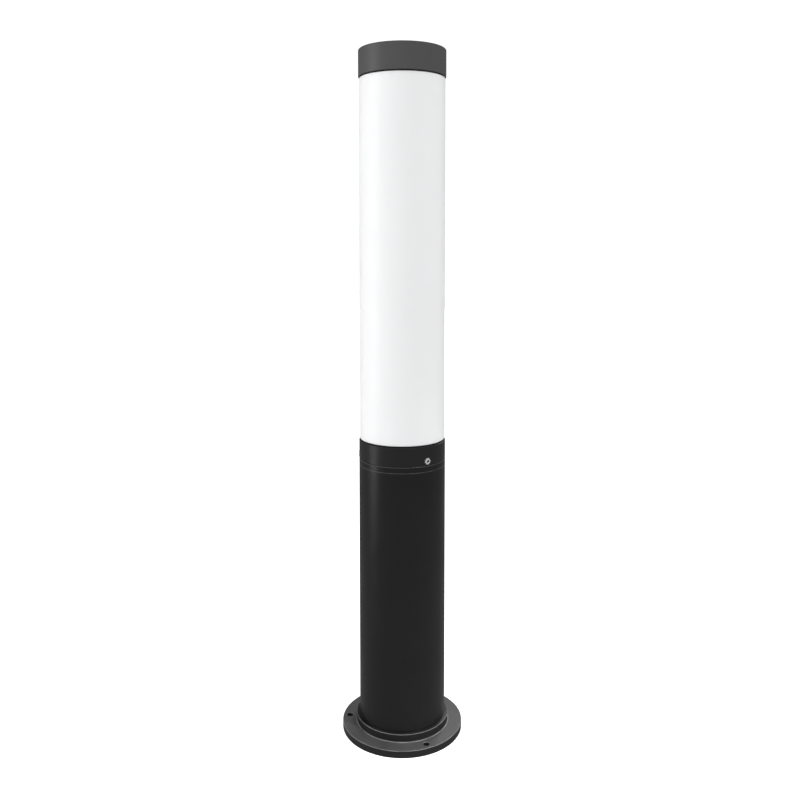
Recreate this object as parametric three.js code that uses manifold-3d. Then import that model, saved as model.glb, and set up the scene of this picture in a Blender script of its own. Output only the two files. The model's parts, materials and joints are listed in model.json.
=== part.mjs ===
// A garden bollard light: anchor flange, round post, clamped lamp head with an opal
// diffuser drum, and the E27 lamp, lampholder and wiring inside.
// Millimetres, +Z up, origin at the centre of the flange's underside.
// An angle around the post is measured from -Y towards +X.
import * as THREE from "three";
import { mergeVertices } from "three/addons/utils/BufferGeometryUtils.js";
import Module from "manifold-3d";

const wasm = await Module();
wasm.setup();

// Driving dimensions
const HEIGHT = 600;
const GAP = 0.3;
const POST_RADIUS = 38;
const POST_WALL = 2.4;
const POST_TOP = 245.7;
const FLANGE_RADIUS = 53.5;
const FLANGE_THICKNESS = 6.5;
const STEP_RADIUS = 41;
const STEP_TOP = 13.5;
const INLET_RADIUS = 17;
const ANCHOR_CIRCLE_RADIUS = 47.5;
const ANCHOR_HOLE_RADIUS = 2.75;
const ANCHOR_ANGLES = [26, 146, 266];
const PORT_CIRCLE_RADIUS = 25.5;
const PORT_ANGLES = [95, 215, 335];
const PORT_BOSS_RADIUS = 4.3;
const PORT_WEB = 3;
const COLLAR_BOTTOM = POST_TOP + GAP;
const COLLAR_TOP = 262.5;
const COLLAR_BORE_RADIUS = 31.6;
const DIFFUSER_RADIUS = 37.25;
const DIFFUSER_WALL = 2.5;
const CAP_BOTTOM = 577;
const RETAINING_ANGLES = [35, 155, 275];
const RETAINING_HEIGHT = 249.6;
const RETAINING_SEAT = 36.9;
const RETAINING_LENGTH = 5.4;
const WASHER_SEAT = 36;
const WASHER_THICKNESS = 0.6;
const HOLDER_RADIUS = 19.5;
const HOLDER_TOP = 292.6;
const LAMP_RADIUS = 29.6;
const LEAD_RADIUS = 1.2;

// Sizes worked out from them
const POST_BORE = POST_RADIUS - POST_WALL;
const POST_BOTTOM = STEP_TOP + GAP;
const SPIGOT_RADIUS = POST_BORE - 0.4;
const SPIGOT_BORE = SPIGOT_RADIUS - 1.9;
const BASE_SPIGOT_TOP = STEP_TOP + 16;
const DIFFUSER_BORE = DIFFUSER_RADIUS - DIFFUSER_WALL;
const HEAD_SPIGOT = DIFFUSER_BORE - 0.35;
const HEAD_SPIGOT_HEIGHT = 10;
const SEAL_THICKNESS = 0.5;
const DIFFUSER_BOTTOM = COLLAR_TOP + SEAL_THICKNESS + 2 * GAP;
const DIFFUSER_TOP = CAP_BOTTOM - SEAL_THICKNESS - 2 * GAP;

// The adapter that closes the post
const ADAPTER_RADIUS = COLLAR_BORE_RADIUS - 0.4;
const ADAPTER_FLOOR = 242;
const ADAPTER_TOP = 259.4;
const POCKET_RADIUS = 20;
const POCKET_FLOOR = 250.3;
const O_RING_BOTTOM = 254.9;
const O_RING_TOP = 256.9;

// Screws: shank radius, head radius, head height, hex socket radius
const M3 = { shank: 1.5, head: 2.8, height: 1.6, socket: 1.1 };
const M4 = { shank: 2.0, head: 3.5, height: 3.2, socket: 1.7 };
const M4_HOLE = M4.shank + GAP;
const M3_HOLE = M3.shank + GAP;
const M4_WELL = 4.0;
const M4_LENGTH = 20;
const BASE_WELL_DEPTH = 4.8;
const ADAPTER_WELL_DEPTH = 6;

// Places inside the head and the post, as x and y from the axis
const HOLDER_SCREW_X = 9;
const LIVE_XY = [0, -9];
const NEUTRAL_XY = [9.3, -9.3];
const HOLDER_BOTTOM = POCKET_FLOOR + GAP;
const HOLDER_FLOOR = 262;
const PLATE_FRONT = 6.9;
const PLATE_THICKNESS = 1.5;
const PLATE_WIDTH = 26;
const PLATE_BOTTOM = 184;
const TAB_DEPTH = 9.1;
const TAB_SCREW_XY = [8.5, 12.5];
const BLOCK_BOTTOM = 190;
const BLOCK_HEIGHT = 20;
const BLOCK_FRONT = -7;
const POLE_PITCH = 11;
const POLE_RADIUS = 2.9;
const CLAMP_HEIGHTS = [195, 205];
const EARTH_SCREW = [-7, 232];

// Segments around large, middle-sized and small round pieces
const LARGE = 40;
const MIDDLE = 20;
const SMALL = 10;

// Materials
const paint = (color, roughness, metalness) =>
  new THREE.MeshStandardMaterial({ color, roughness, metalness });
const postPaint = () => paint(0x1c1c1d, 0.5, 0.3);
const collarPaint = () => paint(0x18181a, 0.45, 0.3);
const flangePaint = () => paint(0x2b2b2c, 0.5, 0.3);
const capPaint = () => paint(0x3b3b3c, 0.5, 0.3);
const castAluminium = () => paint(0xa9abad, 0.45, 0.9);
const opal = () => paint(0xf4f3ef, 0.35, 0.0);
const rubber = () => paint(0x151515, 0.85, 0.0);
const stainless = () => paint(0xb9bbbd, 0.3, 0.95);
const zincSteel = () => paint(0xa7a9a8, 0.4, 0.9);
const brass = () => paint(0xc9a552, 0.3, 0.95);
const porcelain = () => paint(0xf1eee6, 0.2, 0.0);
const whitePlastic = () => paint(0xececea, 0.45, 0.0);
const blackPlastic = () => paint(0x202022, 0.5, 0.0);
const leadPlastic = (color) => paint(color, 0.5, 0.0);

// A point at an angle around the post.
function around(degrees, radius, z) {
  const angle = THREE.MathUtils.degToRad(degrees);
  return new THREE.Vector3(radius * Math.sin(angle), -radius * Math.cos(angle), z);
}

// A turned piece: [radius, z] points, anticlockwise around the section's material.
function turned(profile, segments) {
  const points = profile.map(([radius, z]) => new THREE.Vector2(radius, z));
  return new THREE.LatheGeometry(points, segments).rotateX(Math.PI / 2);
}

// A turned ring, whose profile closes on itself.
function ring(profile, segments) {
  return turned([...profile, profile[0]], segments);
}

// A plain tube or washer about the axis.
function washer(inner, outer, bottom, top, segments) {
  return ring([[inner, bottom], [outer, bottom], [outer, top], [inner, top]], segments);
}

// An upright cylinder standing at x, y.
function upright(radius, bottom, top, x, y, segments = SMALL) {
  const geometry = new THREE.CylinderGeometry(radius, radius, top - bottom, segments);
  return geometry.rotateX(Math.PI / 2).translate(x, y, (bottom + top) / 2);
}

// A box from its lowest to its highest corner.
function block(low, high) {
  const size = high.map((value, axis) => value - low[axis]);
  const middle = high.map((value, axis) => (value + low[axis]) / 2);
  return new THREE.BoxGeometry(...size).translate(...middle);
}

// A cylinder along Y at x, z.
function along(radius, front, back, x, z, segments = SMALL) {
  const geometry = new THREE.CylinderGeometry(radius, radius, back - front, segments);
  return geometry.translate(x, (front + back) / 2, z);
}

// A cylinder pointing outwards at an angle around the post.
function spoke(radius, inner, outer, degrees, z, segments = SMALL) {
  const geometry = new THREE.CylinderGeometry(radius, radius, outer - inner, segments);
  geometry.translate(0, (inner + outer) / 2, 0);
  const turn = THREE.MathUtils.degToRad(degrees) - Math.PI;
  return geometry.rotateZ(turn).translate(0, 0, z);
}

// A three.js geometry as a closed solid for cutting and joining.
function solid(geometry) {
  const bare = geometry.clone();
  bare.deleteAttribute("normal");
  bare.deleteAttribute("uv");
  const merged = mergeVertices(bare, 1e-4);
  return new wasm.Manifold(
    new wasm.Mesh({
      numProp: 3,
      vertProperties: merged.attributes.position.array,
      triVerts: new Uint32Array(merged.index.array),
    }),
  );
}

// A closed solid as a three.js geometry.
function geometryOf(shape) {
  const { vertProperties, triVerts } = shape.getMesh();
  const geometry = new THREE.BufferGeometry();
  geometry.setAttribute("position", new THREE.BufferAttribute(vertProperties, 3));
  geometry.setIndex(new THREE.BufferAttribute(triVerts, 1));
  const flat = geometry.toNonIndexed();
  flat.computeVertexNormals();
  return flat;
}

// A geometry with others cut out of it.
function cut(geometry, tools) {
  let shape = solid(geometry);
  for (const tool of tools) {
    shape = shape.subtract(solid(tool));
  }
  return geometryOf(shape);
}

// Geometries joined into one solid.
function join(geometry, others) {
  let shape = solid(geometry);
  for (const other of others) {
    shape = shape.add(solid(other));
  }
  return geometryOf(shape);
}

function piece(name, geometry, material) {
  const mesh = new THREE.Mesh(geometry, material);
  mesh.name = name;
  return mesh;
}

// A socket-head screw along Z: its shank hangs below 0 and its head stands on 0.
function socketScrew(size, length) {
  const rim = size.head * 0.12;
  const body = turned(
    [
      [0, -length],
      [size.shank - 0.3, -length],
      [size.shank, -length + 0.3],
      [size.shank, 0],
      [size.head, 0],
      [size.head, size.height - rim],
      [size.head - rim, size.height],
      [0, size.height],
    ],
    SMALL,
  );
  const socket = upright(size.socket, size.height * 0.4, size.height + 1, 0, 0, 6);
  return cut(body, [socket]);
}

// Three boxes that clear the webs between the post's wall and its screw ports.
function webClearances(inner, bottom, top) {
  const half = PORT_WEB / 2 + 0.5;
  return PORT_ANGLES.map((degrees) => {
    const box = block([-half, -POST_RADIUS, bottom], [half, -inner, top]);
    return box.rotateZ(THREE.MathUtils.degToRad(degrees));
  });
}

// Upright cylinders at each screw port.
function atPorts(radius, bottom, top) {
  return PORT_ANGLES.map((degrees) => {
    const { x, y } = around(degrees, PORT_CIRCLE_RADIUS, 0);
    return upright(radius, bottom, top, x, y);
  });
}

// Anchor flange: disc, raised step and the spigot that the post stands around.
function baseFlange() {
  const foot = 0.9;
  const diagonal = foot * (1 - Math.SQRT1_2);
  const body = ring(
    [
      [INLET_RADIUS, 0],
      [FLANGE_RADIUS - 0.4, 0],
      [FLANGE_RADIUS, 0.4],
      [FLANGE_RADIUS, FLANGE_THICKNESS - 0.6],
      [FLANGE_RADIUS - 0.6, FLANGE_THICKNESS],
      [STEP_RADIUS + foot, FLANGE_THICKNESS],
      [STEP_RADIUS + diagonal, FLANGE_THICKNESS + diagonal],
      [STEP_RADIUS, FLANGE_THICKNESS + foot],
      [STEP_RADIUS, STEP_TOP - 0.4],
      [STEP_RADIUS - 0.4, STEP_TOP],
      [SPIGOT_RADIUS, STEP_TOP],
      [SPIGOT_RADIUS, BASE_SPIGOT_TOP],
      [SPIGOT_BORE, BASE_SPIGOT_TOP],
      [SPIGOT_BORE, STEP_TOP],
      [INLET_RADIUS, STEP_TOP],
    ],
    LARGE,
  );
  const anchors = ANCHOR_ANGLES.map((degrees) => {
    const { x, y } = around(degrees, ANCHOR_CIRCLE_RADIUS, 0);
    return upright(ANCHOR_HOLE_RADIUS, -1, FLANGE_THICKNESS + 1, x, y, 12);
  });
  const wells = atPorts(M4_WELL, -1, BASE_WELL_DEPTH);
  const holes = atPorts(M4_HOLE, -1, STEP_TOP + 1);
  const webs = webClearances(SPIGOT_BORE - 1, STEP_TOP, BASE_SPIGOT_TOP + 1);
  return cut(body, [...anchors, ...wells, ...holes, ...webs]);
}

// Soft edge of the cable inlet, standing in the flange's central hole.
function cableGrommet() {
  const bore = INLET_RADIUS - 5;
  const body = INLET_RADIUS - GAP;
  const rim = INLET_RADIUS + 2.6;
  const seat = STEP_TOP + GAP;
  return ring(
    [
      [bore, 1.5],
      [body, 1.5],
      [body, seat],
      [rim, seat],
      [rim, seat + 1.6],
      [bore + 0.6, seat + 1.6],
      [bore, seat + 1],
    ],
    MIDDLE,
  );
}

// Points on an arc, the first included and the last left out.
function arc(x, y, radius, from, to, steps) {
  return Array.from({ length: steps }, (_, step) => {
    const angle = from + ((to - from) * step) / steps;
    return new THREE.Vector2(x + radius * Math.cos(angle), y + radius * Math.sin(angle));
  });
}

// Extruded post: a round tube with three screw ports on webs inside it.
function postTube() {
  const outline = new THREE.Shape(arc(0, 0, POST_RADIUS, 0, 2 * Math.PI, LARGE));
  const bossHalfAngle = Math.asin(PORT_WEB / 2 / PORT_BOSS_RADIUS);
  const wallHalfAngle = Math.asin(PORT_WEB / 2 / POST_BORE);
  const third = (2 * Math.PI) / 3;
  const hollow = [];
  for (const degrees of PORT_ANGLES) {
    const angle = THREE.MathUtils.degToRad(degrees - 90);
    const { x, y } = around(degrees, PORT_CIRCLE_RADIUS, 0);
    const start = angle - bossHalfAngle;
    const end = angle + bossHalfAngle - 2 * Math.PI;
    hollow.push(...arc(x, y, PORT_BOSS_RADIUS, start, end, SMALL));
    hollow.push(...arc(x, y, PORT_BOSS_RADIUS, end, end, 1));
    const next = angle + third - wallHalfAngle;
    hollow.push(...arc(0, 0, POST_BORE, angle + wallHalfAngle, next, Math.round(LARGE / 3)));
    hollow.push(...arc(0, 0, POST_BORE, next, next, 1));
    outline.holes.push(new THREE.Path(arc(x, y, M4_HOLE, 0, 2 * Math.PI, SMALL)));
  }
  outline.holes.push(new THREE.Path(hollow));
  const depth = POST_TOP - POST_BOTTOM;
  const geometry = new THREE.ExtrudeGeometry(outline, { depth, bevelEnabled: false });
  return geometry.translate(0, 0, POST_BOTTOM);
}

// Adapter that closes the post, locates the head and carries the lampholder.
function postAdapter() {
  const body = turned(
    [
      [0, ADAPTER_FLOOR],
      [SPIGOT_BORE, ADAPTER_FLOOR],
      [SPIGOT_BORE, ADAPTER_FLOOR - 8],
      [SPIGOT_RADIUS, ADAPTER_FLOOR - 8],
      [SPIGOT_RADIUS, POST_TOP - GAP],
      [ADAPTER_RADIUS, POST_TOP - GAP],
      [ADAPTER_RADIUS, O_RING_BOTTOM - GAP],
      [ADAPTER_RADIUS - 1.1, O_RING_BOTTOM - GAP],
      [ADAPTER_RADIUS - 1.1, O_RING_TOP + GAP],
      [ADAPTER_RADIUS, O_RING_TOP + GAP],
      [ADAPTER_RADIUS, ADAPTER_TOP - 0.6],
      [ADAPTER_RADIUS - 0.6, ADAPTER_TOP],
      [POCKET_RADIUS, ADAPTER_TOP],
      [POCKET_RADIUS, POCKET_FLOOR],
      [0, POCKET_FLOOR],
    ],
    LARGE,
  );
  const low = ADAPTER_FLOOR - 9;
  const tools = [
    ...atPorts(PORT_BOSS_RADIUS + 0.4, low, POST_TOP + GAP),
    ...webClearances(PORT_CIRCLE_RADIUS, low, POST_TOP + GAP),
    ...atPorts(M4_HOLE, low, ADAPTER_TOP),
    ...atPorts(M4_WELL, ADAPTER_TOP - ADAPTER_WELL_DEPTH, ADAPTER_TOP + 1),
  ];
  for (const side of [-1, 1]) {
    tools.push(upright(M4_HOLE, low, POCKET_FLOOR + 1, side * HOLDER_SCREW_X, 0));
    const [x, y] = TAB_SCREW_XY;
    tools.push(upright(M4_HOLE, low, POCKET_FLOOR - 1.3, side * x, y));
  }
  for (const [x, y] of [LIVE_XY, NEUTRAL_XY]) {
    tools.push(upright(LEAD_RADIUS * 2, low, POCKET_FLOOR + 1, x, y));
  }
  return cut(body, tools);
}

// O-ring in the adapter's groove, against the collar's bore.
function adapterORing() {
  const inner = ADAPTER_RADIUS - 0.8;
  const outer = ADAPTER_RADIUS + 0.1;
  const middle = (inner + outer) / 2;
  const half = (O_RING_TOP + O_RING_BOTTOM) / 2;
  return ring(
    [
      [middle, O_RING_BOTTOM],
      [outer, half - 0.5],
      [outer, half + 0.5],
      [middle, O_RING_TOP],
      [inner, half + 0.5],
      [inner, half - 0.5],
    ],
    LARGE,
  );
}

// Porcelain E27 lampholder body: a deep cup with a thick floor.
function lampholderBody() {
  const bore = 14.7;
  const neck = HOLDER_RADIUS - 1;
  const body = turned(
    [
      [0, HOLDER_BOTTOM],
      [HOLDER_RADIUS, HOLDER_BOTTOM],
      [HOLDER_RADIUS, HOLDER_FLOOR],
      [neck, HOLDER_FLOOR + 2],
      [neck, HOLDER_TOP - 1],
      [neck - 1, HOLDER_TOP],
      [bore, HOLDER_TOP],
      [bore, HOLDER_FLOOR],
      [0, HOLDER_FLOOR],
    ],
    MIDDLE,
  );
  const low = HOLDER_BOTTOM - 1;
  const high = HOLDER_FLOOR + 1;
  return cut(body, [
    upright(M4_HOLE, low, high, HOLDER_SCREW_X, 0),
    upright(M4_HOLE, low, high, -HOLDER_SCREW_X, 0),
    upright(LEAD_RADIUS + 0.8, low, high, ...LIVE_XY),
    upright(LEAD_RADIUS + 0.8, low, high, ...NEUTRAL_XY),
  ]);
}

// The rounded thread of an E27 fitting, drawn as level rings between two radii.
function threadRings(root, crest, bottom, turns, pitch) {
  const points = [];
  for (let turn = 0; turn < turns; turn += 1) {
    points.push([root, bottom + turn * pitch]);
    points.push([crest, bottom + (turn + 0.5) * pitch]);
  }
  return points;
}

// Brass screw shell of the lampholder, with the tail that takes the neutral lead.
function lampholderShell() {
  const outer = 14.4;
  const bottom = HOLDER_FLOOR + 2;
  const top = HOLDER_TOP - 1.1;
  const inside = threadRings(13.9, 13.45, bottom + 2, 6, 3.6).reverse();
  const wall = ring([[13.9, bottom], [outer, bottom], [outer, top], [13.9, top], ...inside], MIDDLE);
  const tail = block([-2, -outer + 0.1, HOLDER_FLOOR + GAP], [2, -12.2, bottom + 1]);
  return join(wall, [tail.rotateZ(THREE.MathUtils.degToRad(45))]);
}

// Sprung strip under the lamp's centre, with the tail that takes the live lead.
function lampholderContact() {
  const low = HOLDER_FLOOR + GAP;
  const shape = new THREE.Shape([
    new THREE.Vector2(-11.5, low),
    new THREE.Vector2(4, low),
    new THREE.Vector2(4, low + 0.8),
    new THREE.Vector2(2, low + 2.8),
    new THREE.Vector2(-2, low + 2.8),
    new THREE.Vector2(-5, low + 0.8),
    new THREE.Vector2(-11.5, low + 0.8),
  ]);
  const strip = new THREE.ExtrudeGeometry(shape, { depth: 5, bevelEnabled: false });
  return strip.translate(0, 0, -2.5).rotateY(Math.PI / 2).rotateX(Math.PI / 2);
}

// Bent plate that hangs the terminal block under the adapter.
function terminalBracket() {
  const top = ADAPTER_FLOOR - GAP;
  const back = PLATE_FRONT + PLATE_THICKNESS;
  const tabBack = PLATE_FRONT + TAB_DEPTH;
  const half = PLATE_WIDTH / 2;
  const plate = block([-half, PLATE_FRONT, PLATE_BOTTOM], [half, back, top]);
  const tab = block([-half, PLATE_FRONT, top - PLATE_THICKNESS], [half, tabBack, top]);
  const bent = join(plate, [tab]);
  const holes = [];
  const low = top - PLATE_THICKNESS - 1;
  for (const side of [-1, 1]) {
    holes.push(upright(M4_HOLE, low, top + 1, side * TAB_SCREW_XY[0], TAB_SCREW_XY[1]));
    const middle = BLOCK_BOTTOM + BLOCK_HEIGHT / 2;
    holes.push(along(M3_HOLE, PLATE_FRONT - 1, back + 1, (side * POLE_PITCH) / 2, middle));
  }
  holes.push(along(M4_HOLE, PLATE_FRONT - 1, back + 1, ...EARTH_SCREW));
  return cut(bent, holes);
}

// Three-pole terminal block, with an upright bore and two screw wells for each pole.
function terminalBlock() {
  const half = 1.5 * POLE_PITCH;
  const top = BLOCK_BOTTOM + BLOCK_HEIGHT;
  const back = PLATE_FRONT - GAP;
  const body = block([-half, BLOCK_FRONT, BLOCK_BOTTOM], [half, back, top]);
  const tools = [];
  for (const pole of [-1, 0, 1]) {
    const x = pole * POLE_PITCH;
    tools.push(upright(POLE_RADIUS + GAP, BLOCK_BOTTOM - 1, top + 1, x, 0));
    for (const z of CLAMP_HEIGHTS) {
      tools.push(along(2.1, BLOCK_FRONT - 1, 0, x, z));
    }
  }
  for (const side of [-0.5, 0.5]) {
    const middle = BLOCK_BOTTOM + BLOCK_HEIGHT / 2;
    tools.push(along(M3_HOLE, BLOCK_FRONT - 1, back + 1, side * POLE_PITCH, middle));
  }
  return cut(body, tools);
}

// Brass sleeve of one pole, tapped for its two clamp screws.
function terminalInsert() {
  const bottom = BLOCK_BOTTOM + 1;
  const top = BLOCK_BOTTOM + BLOCK_HEIGHT - 1;
  const sleeve = washer(1.7, POLE_RADIUS, bottom, top, SMALL);
  return cut(sleeve, CLAMP_HEIGHTS.map((z) => along(1.5, -POLE_RADIUS - 1, 0, 0, z)));
}

// Headless clamp screw of one pole, along Y.
function clampScrew() {
  return along(1.2, -6.4, -1.7, 0, 0, 8);
}

// Ring tongue that the earth lead is crimped into.
function earthLug() {
  const back = PLATE_FRONT - GAP;
  const front = back - 0.8;
  const [x, z] = EARTH_SCREW;
  const eye = along(3.9, front, back, x, z, 16);
  const neck = block([x - 1.6, front, z - 6.6], [x + 1.6, back, z - 3]);
  const barrel = upright(1.9, z - 9, z - 5.4, x, back - 1.9);
  return cut(join(eye, [neck, barrel]), [along(M4_HOLE, front - 1, back + 1, x, z)]);
}

// An insulated lead through points chosen by hand.
function lead(points) {
  const path = new THREE.CatmullRomCurve3(points.map((point) => new THREE.Vector3(...point)));
  const section = new THREE.Shape(arc(0, 0, LEAD_RADIUS, 0, 2 * Math.PI, 8));
  return new THREE.ExtrudeGeometry(section, { steps: 14, extrudePath: path, bevelEnabled: false });
}

// Collar ring: slips over the adapter, rests on the post and holds the diffuser.
function collarRing() {
  const body = ring(
    [
      [COLLAR_BORE_RADIUS, COLLAR_BOTTOM],
      [POST_RADIUS - 0.3, COLLAR_BOTTOM],
      [POST_RADIUS, COLLAR_BOTTOM + 0.3],
      [POST_RADIUS, COLLAR_TOP - 0.4],
      [POST_RADIUS - 0.4, COLLAR_TOP],
      [HEAD_SPIGOT, COLLAR_TOP],
      [HEAD_SPIGOT, COLLAR_TOP + HEAD_SPIGOT_HEIGHT],
      [COLLAR_BORE_RADIUS, COLLAR_TOP + HEAD_SPIGOT_HEIGHT],
    ],
    LARGE,
  );
  const tools = [];
  for (const degrees of RETAINING_ANGLES) {
    tools.push(spoke(M3_HOLE, 30, 40, degrees, RETAINING_HEIGHT));
    tools.push(spoke(M3.head + 0.4, WASHER_SEAT - GAP, 40, degrees, RETAINING_HEIGHT, 16));
  }
  return cut(body, tools);
}

// Seal between a diffuser edge and the metal that it meets.
function diffuserSeal(bottom) {
  return washer(HEAD_SPIGOT + GAP, POST_RADIUS - 1.1, bottom, bottom + SEAL_THICKNESS, LARGE);
}

// Opal drum, open at both ends.
function diffuser() {
  return ring(
    [
      [DIFFUSER_BORE, DIFFUSER_BOTTOM],
      [DIFFUSER_RADIUS - 0.3, DIFFUSER_BOTTOM],
      [DIFFUSER_RADIUS, DIFFUSER_BOTTOM + 0.3],
      [DIFFUSER_RADIUS, DIFFUSER_TOP - 0.3],
      [DIFFUSER_RADIUS - 0.3, DIFFUSER_TOP],
      [DIFFUSER_BORE, DIFFUSER_TOP],
    ],
    LARGE,
  );
}

// Drum-shaped cap, hollow from below, with a spigot inside the diffuser.
function topCap() {
  const spigotBore = HEAD_SPIGOT - 2.5;
  const cavity = POST_RADIUS - 4.2;
  return turned(
    [
      [0, HEIGHT - 3.6],
      [cavity, HEIGHT - 3.6],
      [cavity, CAP_BOTTOM + 3],
      [spigotBore, CAP_BOTTOM],
      [spigotBore, CAP_BOTTOM - HEAD_SPIGOT_HEIGHT],
      [HEAD_SPIGOT, CAP_BOTTOM - HEAD_SPIGOT_HEIGHT],
      [HEAD_SPIGOT, CAP_BOTTOM],
      [POST_RADIUS - 0.3, CAP_BOTTOM],
      [POST_RADIUS, CAP_BOTTOM + 0.3],
      [POST_RADIUS, HEIGHT - 0.8],
      [POST_RADIUS - 0.8, HEIGHT],
      [0, HEIGHT],
    ],
    LARGE,
  );
}

// LED lamp, from its centre contact up to its globe
const LAMP_BOTTOM = HOLDER_FLOOR + GAP + 2.8 + GAP;
const INSULATOR_BOTTOM = LAMP_BOTTOM + 2;
const SHELL_BOTTOM = LAMP_BOTTOM + 6.2;
const SHELL_TOP = LAMP_BOTTOM + 28.5;
const HOUSING_BOTTOM = SHELL_TOP + GAP;
const HOUSING_TOP = LAMP_BOTTOM + 79.5;

function lampContact() {
  const top = INSULATOR_BOTTOM - GAP;
  return turned([[0, LAMP_BOTTOM], [3.6, LAMP_BOTTOM], [4.6, LAMP_BOTTOM + 0.8], [4.6, top], [0, top]], SMALL);
}

function lampInsulator() {
  const top = SHELL_BOTTOM - GAP;
  return turned([[0, INSULATOR_BOTTOM], [5.2, INSULATOR_BOTTOM], [9, top - 0.8], [9, top], [0, top]], MIDDLE);
}

function lampCapShell() {
  const thread = threadRings(12.2, 12.9, SHELL_BOTTOM + 2, 5, 3.6);
  return ring(
    [
      [9.2, SHELL_BOTTOM],
      [11.6, SHELL_BOTTOM + 0.6],
      ...thread,
      [12.2, SHELL_BOTTOM + 20],
      [12.9, SHELL_TOP],
      [11.4, SHELL_TOP],
      [11.4, SHELL_BOTTOM + 1.4],
      [9.2, SHELL_BOTTOM + 0.8],
    ],
    MIDDLE,
  );
}

function lampHousing() {
  const outer = [
    [13.2, HOUSING_BOTTOM],
    [15, HOUSING_BOTTOM + 4],
    [18.6, HOUSING_BOTTOM + 18],
    [25.5, HOUSING_BOTTOM + 36],
    [28.6, HOUSING_BOTTOM + 46],
    [28.9, HOUSING_TOP],
  ];
  const inner = outer.map(([radius, z]) => [radius - 1.4, z]).reverse();
  return ring([...outer, ...inner], MIDDLE);
}

function lampLedBoard() {
  const radius = LAMP_RADIUS - 3.6;
  const bottom = HOUSING_TOP - 3.9;
  const top = bottom + 1.6;
  return turned([[0, bottom], [radius, bottom], [radius, top], [0, top]], MIDDLE);
}

function lampGlobe() {
  const bottom = HOUSING_TOP + GAP;
  const steps = 7;
  const outer = [];
  const inner = [];
  for (let step = 0; step <= steps; step += 1) {
    const angle = (step / steps) * (Math.PI / 2);
    const reach = step === steps ? 0 : Math.cos(angle);
    outer.push([LAMP_RADIUS * reach, bottom + LAMP_RADIUS * Math.sin(angle)]);
    inner.push([(LAMP_RADIUS - 1.3) * reach, bottom + (LAMP_RADIUS - 1.3) * Math.sin(angle)]);
  }
  return turned([...inner.reverse(), ...outer], MIDDLE);
}

// A screw with its head pointing along a direction, its seat at a point.
function placeScrew(name, size, length, material, seat, direction) {
  const screw = piece(name, socketScrew(size, length), material);
  screw.position.copy(seat);
  screw.quaternion.setFromUnitVectors(new THREE.Vector3(0, 0, 1), direction);
  return screw;
}

const UP = new THREE.Vector3(0, 0, 1);
const DOWN = new THREE.Vector3(0, 0, -1);
const FORWARD = new THREE.Vector3(0, -1, 0);

// Post: everything that stays on the ground when the head is lifted off.
function buildPost() {
  const post = new THREE.Group();
  post.add(piece("base_flange", baseFlange(), flangePaint()));
  post.add(piece("cable_grommet", cableGrommet(), rubber()));
  post.add(piece("post_tube", postTube(), postPaint()));
  post.add(piece("post_adapter", postAdapter(), castAluminium()));
  post.add(piece("adapter_o_ring", adapterORing(), rubber()));
  PORT_ANGLES.forEach((degrees, index) => {
    const under = around(degrees, PORT_CIRCLE_RADIUS, BASE_WELL_DEPTH - GAP);
    const over = around(degrees, PORT_CIRCLE_RADIUS, ADAPTER_TOP - ADAPTER_WELL_DEPTH + GAP);
    post.add(placeScrew(`base_screw_${index + 1}`, M4, M4_LENGTH, zincSteel(), under, DOWN));
    post.add(placeScrew(`adapter_screw_${index + 1}`, M4, M4_LENGTH, zincSteel(), over, UP));
  });
  return post;
}

function buildLampholder() {
  const holder = new THREE.Group();
  holder.add(piece("lampholder_body", lampholderBody(), porcelain()));
  holder.add(piece("lampholder_shell", lampholderShell(), brass()));
  holder.add(piece("lampholder_contact", lampholderContact(), brass()));
  [-1, 1].forEach((side, index) => {
    const seat = new THREE.Vector3(side * HOLDER_SCREW_X, 0, HOLDER_FLOOR + GAP);
    holder.add(placeScrew(`lampholder_screw_${index + 1}`, M4, 16, zincSteel(), seat, UP));
  });
  return holder;
}

function buildTerminals() {
  const terminals = new THREE.Group();
  terminals.add(piece("terminal_bracket", terminalBracket(), zincSteel()));
  terminals.add(piece("terminal_block", terminalBlock(), whitePlastic()));
  terminals.add(piece("earth_lug", earthLug(), zincSteel()));
  [-1, 0, 1].forEach((pole, index) => {
    const insert = piece(`terminal_insert_${index + 1}`, terminalInsert(), brass());
    insert.position.x = pole * POLE_PITCH;
    terminals.add(insert);
    CLAMP_HEIGHTS.forEach((z, row) => {
      const screw = piece(`clamp_screw_${2 * index + row + 1}`, clampScrew(), zincSteel());
      screw.position.set(pole * POLE_PITCH, 0, z);
      terminals.add(screw);
    });
  });
  [-1, 1].forEach((side, index) => {
    const [x, y] = TAB_SCREW_XY;
    const under = ADAPTER_FLOOR - PLATE_THICKNESS - 2 * GAP;
    const tabSeat = new THREE.Vector3(side * x, y, under);
    terminals.add(placeScrew(`bracket_screw_${index + 1}`, M4, 8, zincSteel(), tabSeat, DOWN));
    const middle = BLOCK_BOTTOM + BLOCK_HEIGHT / 2;
    const blockSeat = new THREE.Vector3((side * POLE_PITCH) / 2, BLOCK_FRONT - GAP, middle);
    terminals.add(placeScrew(`block_screw_${index + 1}`, M3, 18, zincSteel(), blockSeat, FORWARD));
  });
  const [earthX, earthZ] = EARTH_SCREW;
  const earthSeat = new THREE.Vector3(earthX, PLATE_FRONT - 2 * GAP - 0.8, earthZ);
  terminals.add(placeScrew("earth_screw", M4, 6, stainless(), earthSeat, FORWARD));
  return terminals;
}

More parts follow.
